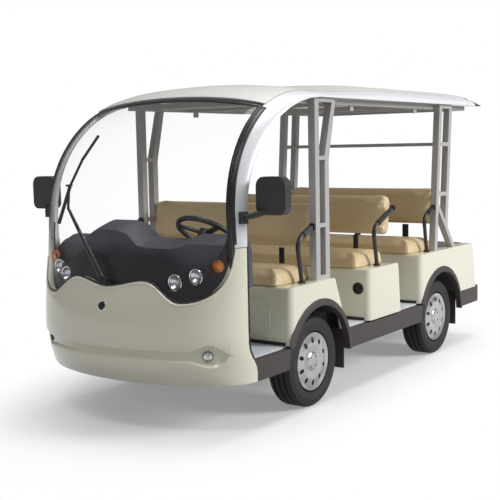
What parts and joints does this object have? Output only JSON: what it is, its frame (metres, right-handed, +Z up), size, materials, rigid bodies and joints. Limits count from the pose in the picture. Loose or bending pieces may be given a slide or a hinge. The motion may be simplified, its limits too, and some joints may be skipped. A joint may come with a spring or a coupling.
{
  "type": "electric shuttle bus",
  "caption": "Open-sided electric shuttle bus with benches in rows, a curved windscreen running into the roof, steered front wheels and all road wheels turning.",
  "frame": {"origin": "on the ground below the middle of the bus's overall length and width", "axes": "+X forward, +Y to the bus's left, +Z up"},
  "size_m": [3.6997, 1.926, 2.017],
  "materials": {
    "body_cream": "gloss",
    "arch_silver": "satin",
    "pillar_grey": "satin",
    "trim_charcoal": "matte",
    "black_plastic": "satin",
    "black_steel": "satin",
    "glass": "clear",
    "lamp_clear": "clear",
    "lamp_amber": "gloss",
    "lamp_red": "gloss",
    "floor_grey": "matte",
    "tan_leather": "satin",
    "chassis_steel": "satin",
    "tyre_rubber": "matte",
    "cover_silver": "satin"
  },
  "bodies": {
    "bus_body": {"chassis_frame": "chassis_steel", "floor_deck": "floor_grey", "side_sills": "trim_charcoal", "front_cowl": "body_cream", "windscreen": "glass", "lamp_panel": "black_plastic", "headlamps": "lamp_clear", "indicators": "lamp_amber", "fog_lamps": "lamp_clear", "nose_cap": "black_plastic", "wiper": "black_steel", "dashboard": "trim_charcoal", "steering_column": "black_plastic", "roof_arches": "arch_silver", "roof_panel": "body_cream", "roof_frame": "pillar_grey", "mid_pillars": "pillar_grey", "rear_pillars": "pillar_grey", "seat_base_front": "body_cream", "seat_base_middle": "body_cream", "rear_body": "body_cream", "cushion_front": "tan_leather", "cushion_middle": "tan_leather", "cushion_rear": "tan_leather", "backrest_front": "tan_leather", "backrest_middle": "tan_leather", "backrest_rear": "tan_leather", "seat_brackets": "black_steel", "handrails": "black_steel", "wheel_wells": "black_plastic", "arch_flares": "trim_charcoal", "mud_flaps": "tyre_rubber", "mirrors": "black_plastic", "tail_lamps": "lamp_red", "rear_bumper": "trim_charcoal", "charge_port": "black_plastic", "battery_pack": "black_plastic", "front_axle": "chassis_steel", "rear_axle": "chassis_steel"},
    "knuckle_left": {"knuckle_left": "chassis_steel"},
    "knuckle_right": {"knuckle_right": "chassis_steel"},
    "steering_wheel": {"steering_wheel": "black_plastic"},
    "road_wheel_fl": {"tyre_fl": "tyre_rubber", "wheel_fl": "cover_silver"},
    "road_wheel_fr": {"tyre_fr": "tyre_rubber", "wheel_fr": "cover_silver"},
    "road_wheel_rl": {"tyre_rl": "tyre_rubber", "wheel_rl": "cover_silver"},
    "road_wheel_rr": {"tyre_rr": "tyre_rubber", "wheel_rr": "cover_silver"}
  },
  "joints": [
    {"name": "steer_left", "type": "hinge", "parent": "bus_body", "child": "knuckle_left", "pos_m": [0.75, 0.6, 0.28], "axis": [0, 0, 1], "range_deg": [-30, 30]},
    {"name": "steer_right", "type": "hinge", "parent": "bus_body", "child": "knuckle_right", "pos_m": [0.75, -0.6, 0.28], "axis": [0, 0, 1], "range_deg": [-30, 30]},
    {"name": "steering_wheel_turn", "type": "hinge", "parent": "bus_body", "child": "steering_wheel", "pos_m": [1.31, 0.34, 1.1], "axis": [-0.5592, 0, 0.829], "range_deg": [-540, 540]},
    {"name": "spin_fl", "type": "hinge", "parent": "knuckle_left", "child": "road_wheel_fl", "pos_m": [0.75, 0.632, 0.28], "axis": [0, 1, 0], "continuous": true},
    {"name": "spin_fr", "type": "hinge", "parent": "knuckle_right", "child": "road_wheel_fr", "pos_m": [0.75, -0.632, 0.28], "axis": [0, 1, 0], "continuous": true},
    {"name": "spin_rl", "type": "hinge", "parent": "bus_body", "child": "road_wheel_rl", "pos_m": [-1.03, 0.632, 0.28], "axis": [0, 1, 0], "continuous": true},
    {"name": "spin_rr", "type": "hinge", "parent": "bus_body", "child": "road_wheel_rr", "pos_m": [-1.03, -0.632, 0.28], "axis": [0, 1, 0], "continuous": true}
  ],
  "couplings": [
    {"joint": "steer_right", "follows": "steer_left", "ratio": 1},
    {"joint": "steering_wheel_turn", "follows": "steer_left", "ratio": 18}
  ]
}
